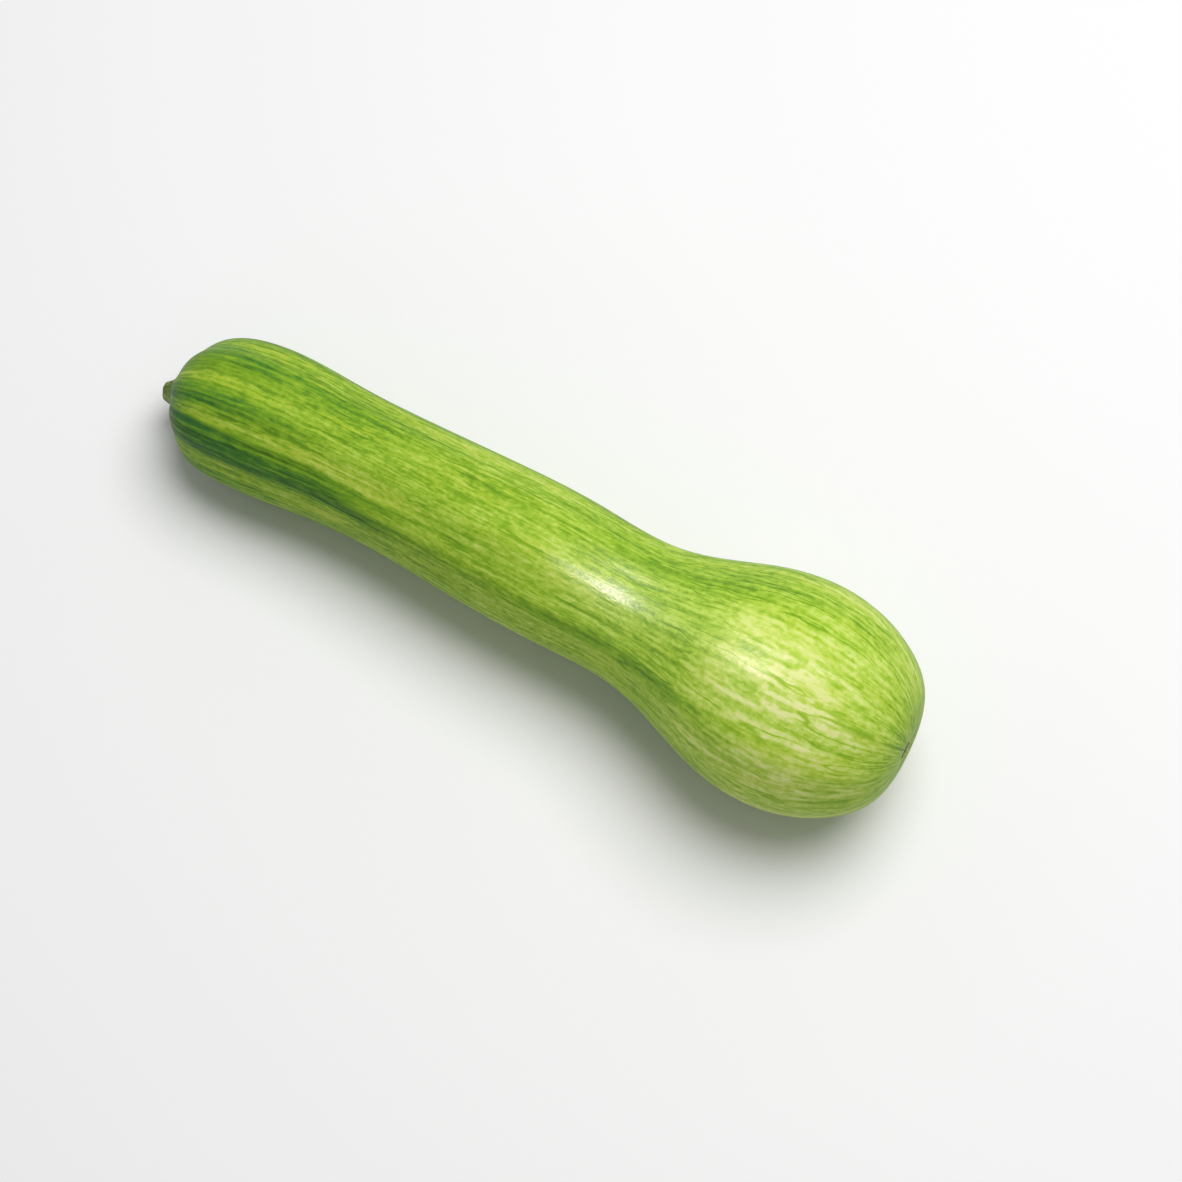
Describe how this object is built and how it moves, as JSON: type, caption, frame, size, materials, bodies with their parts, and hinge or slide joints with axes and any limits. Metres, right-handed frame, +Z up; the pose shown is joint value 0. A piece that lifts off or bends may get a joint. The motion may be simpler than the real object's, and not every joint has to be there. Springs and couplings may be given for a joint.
{
  "type": "zucchini",
  "caption": "Young neck squash, whole and lying down: a long slim neck with a rounded bulb at the blossom end and a short cut stem at the other.",
  "frame": {"origin": "on the surface the fruit lies on, below the middle of its bounding box", "axes": "+X along the fruit from the stem to the blossom end, +Z up, +Y across it"},
  "size_m": [0.2322, 0.0626, 0.0611],
  "materials": {
    "skin": "waxy green skin, mottled lengthwise in light and dark green",
    "stem": "dry matte olive green, corky where it was cut"
  },
  "bodies": {
    "root": {"fruit": "skin", "stem": "stem"}
  },
  "joints": []
}
